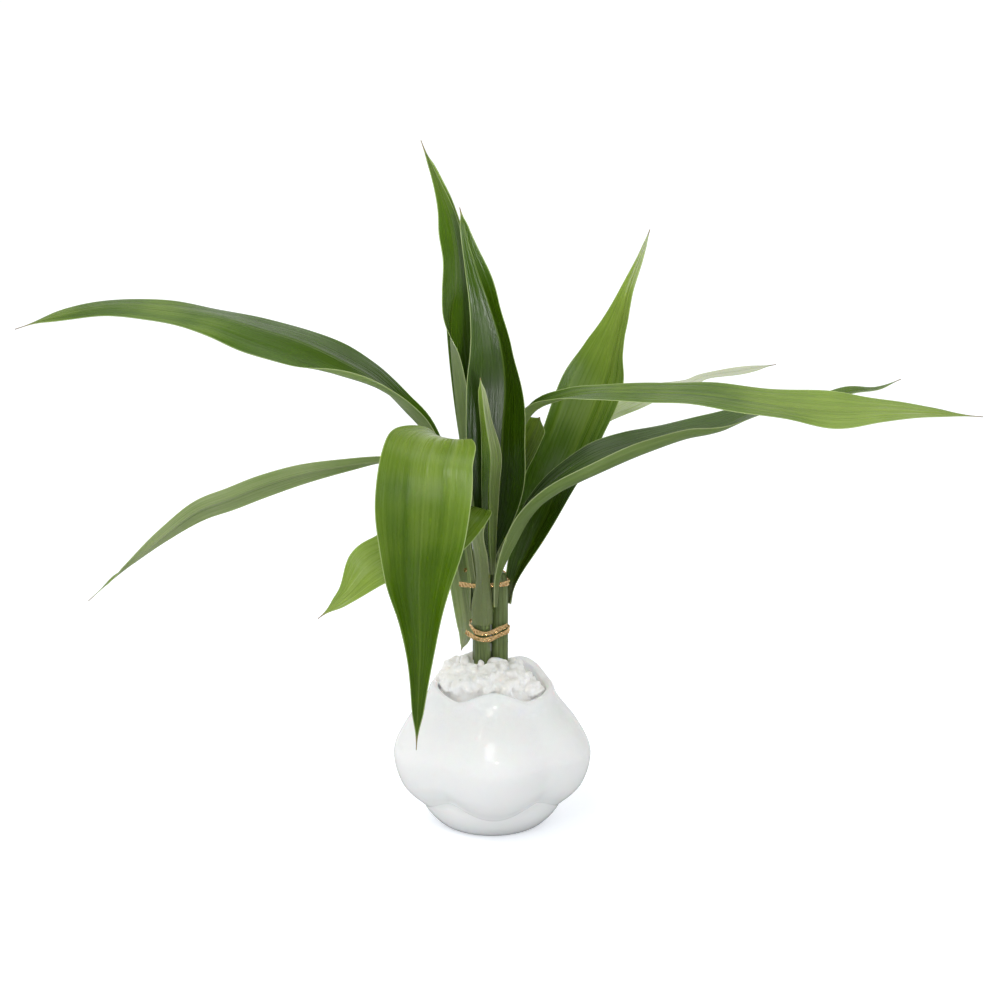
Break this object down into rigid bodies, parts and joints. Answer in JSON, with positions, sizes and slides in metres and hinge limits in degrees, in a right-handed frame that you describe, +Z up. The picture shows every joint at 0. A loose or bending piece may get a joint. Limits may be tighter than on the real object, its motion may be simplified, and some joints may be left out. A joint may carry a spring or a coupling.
{
  "type": "lucky bamboo in a pot",
  "caption": "Lucky bamboo: slender canes bound with gilt wire, standing in crushed quartz in a lobed white glazed pot, with long arching leaves.",
  "frame": {"origin": "centre of the pot's flat underside, on the surface that it stands on", "axes": "+Z up along the canes, +X to the right in the picture, along the plant's widest spread, -Y towards the viewer"},
  "size_m": [0.4242, 0.1901, 0.3172],
  "materials": {
    "glaze": "gloss",
    "quartz": "satin",
    "cane": "satin",
    "leaf": "satin",
    "gilt": "polished"
  },
  "bodies": {
    "root": {"pot": "glaze", "stones": "quartz", "cane_front": "cane", "cane_right": "cane", "cane_back": "cane", "leaf_front_upright": "leaf", "leaf_left_upright": "leaf", "leaf_back_upright": "leaf", "leaf_young": "leaf", "leaf_front_drooping": "leaf", "leaf_low_front": "leaf", "leaf_upper_left": "leaf", "leaf_lower_left": "leaf", "leaf_upper_right": "leaf", "leaf_right_high": "leaf", "leaf_right_low": "leaf", "leaf_back_right": "leaf", "leaf_back_hanging": "leaf", "leaf_torn": "leaf", "tie_lower": "gilt", "tie_upper": "gilt"}
  },
  "joints": []
}
